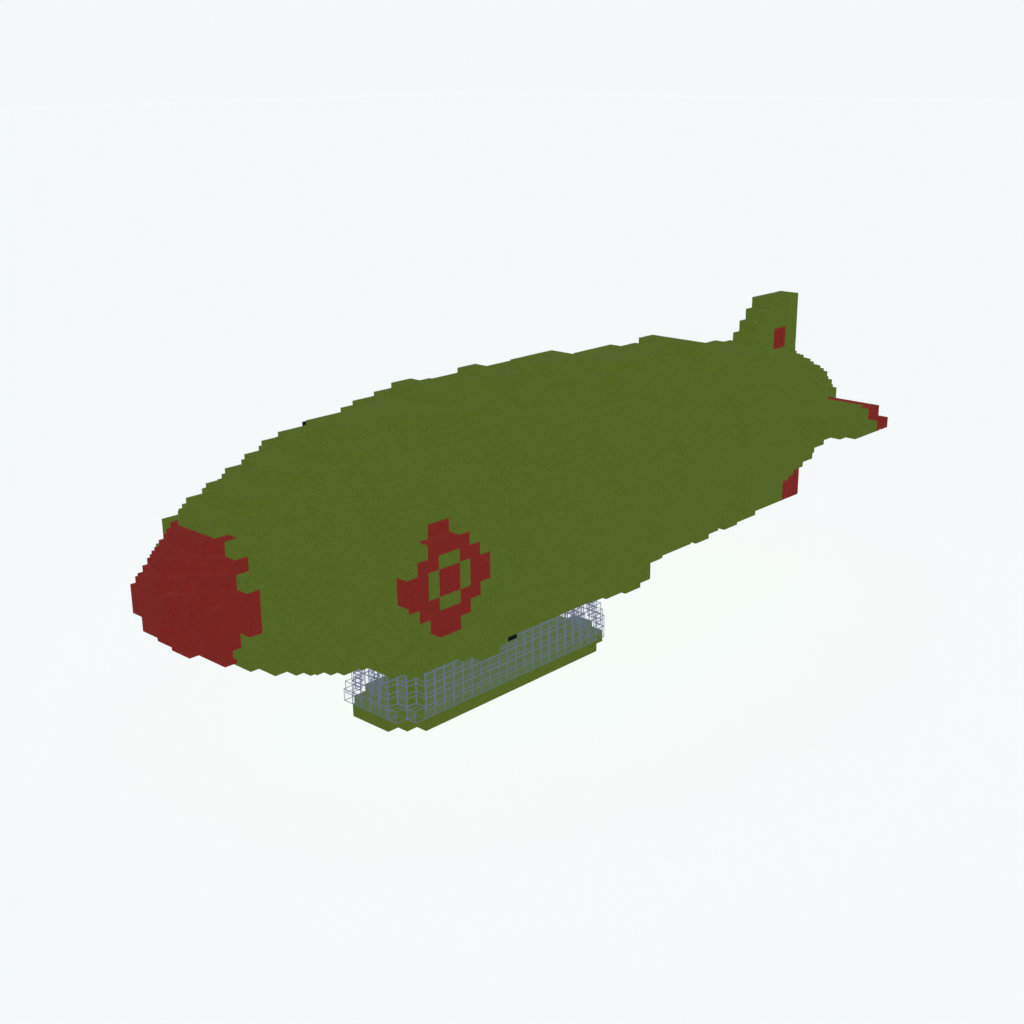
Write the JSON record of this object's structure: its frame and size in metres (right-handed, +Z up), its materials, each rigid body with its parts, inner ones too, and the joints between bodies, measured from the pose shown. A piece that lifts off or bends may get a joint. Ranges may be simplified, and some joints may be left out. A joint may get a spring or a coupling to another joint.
{
  "type": "block-built airship, one-tenth scale model",
  "caption": "Airship built of stepped cubic blocks: hollow envelope, glazed gondola with a flat floor, cruciform tail fins with hinged rudders and elevators.",
  "frame": {"origin": "centre of the gondola floor's flat underside, on the surface it stands on, 1.2 m aft of the floor's front edge", "axes": "+X towards the nose, +Y to port, +Z up"},
  "size_m": [7.9997, 2.2, 2.6],
  "materials": {
    "green_block": "matt green blocks with a fine felt-like grain",
    "red_block": "matt dark red blocks with a fine grain",
    "glass_block": "clear glass blocks with a pale frame round each block",
    "black_block": "matt black"
  },
  "bodies": {
    "airframe": {"envelope_nose_plate": "green_block", "envelope_nose_cap_upper_port": "green_block", "envelope_nose_cap_upper_starboard": "green_block", "envelope_nose_cap_lower_port": "green_block", "envelope_nose_cap_lower_starboard": "green_block", "envelope_bow_upper_port": "green_block", "envelope_bow_upper_starboard": "green_block", "envelope_bow_lower_port": "green_block", "envelope_bow_lower_starboard": "green_block", "envelope_middle_upper_port": "green_block", "envelope_middle_upper_starboard": "green_block", "envelope_middle_lower_port": "green_block", "envelope_middle_lower_starboard": "green_block", "envelope_quarter_upper_port": "green_block", "envelope_quarter_upper_starboard": "green_block", "envelope_quarter_lower_port": "green_block", "envelope_quarter_lower_starboard": "green_block", "envelope_stern_upper_port": "green_block", "envelope_stern_upper_starboard": "green_block", "envelope_stern_lower_port": "green_block", "envelope_stern_lower_starboard": "green_block", "envelope_tail_cone_upper_port": "green_block", "envelope_tail_cone_upper_starboard": "green_block", "envelope_tail_cone_lower_port": "green_block", "envelope_tail_cone_lower_starboard": "green_block", "gondola_floor": "green_block", "fin_top": "green_block", "fin_lower": "green_block", "fin_port": "green_block", "fin_starboard": "green_block", "gondola_glass_bow": "glass_block", "gondola_glass_aft": "glass_block", "gondola_glass_port": "glass_block", "gondola_glass_starboard": "glass_block", "vent_low": "black_block", "vent_top": "black_block"},
    "rudder_upper": {"rudder_upper": "green_block"},
    "rudder_lower": {"rudder_lower": "red_block"},
    "elevator_port": {"elevator_port": "red_block"},
    "elevator_starboard": {"elevator_starboard": "red_block"}
  },
  "joints": [
    {"name": "rudder_upper_hinge", "type": "hinge", "parent": "airframe", "child": "rudder_upper", "pos_m": [-4.3, 0, 2.35], "axis": [0, 0, 1], "range_deg": [-25, 25]},
    {"name": "rudder_lower_hinge", "type": "hinge", "parent": "airframe", "child": "rudder_lower", "pos_m": [-4.4, 0, 0.65], "axis": [0, 0, 1], "range_deg": [-25, 25]},
    {"name": "elevator_port_hinge", "type": "hinge", "parent": "airframe", "child": "elevator_port", "pos_m": [-4.4, 0.85, 1.5], "axis": [0, 1, 0], "range_deg": [-25, 25]},
    {"name": "elevator_starboard_hinge", "type": "hinge", "parent": "airframe", "child": "elevator_starboard", "pos_m": [-4.4, -0.85, 1.5], "axis": [0, 1, 0], "range_deg": [-25, 25]}
  ]
}
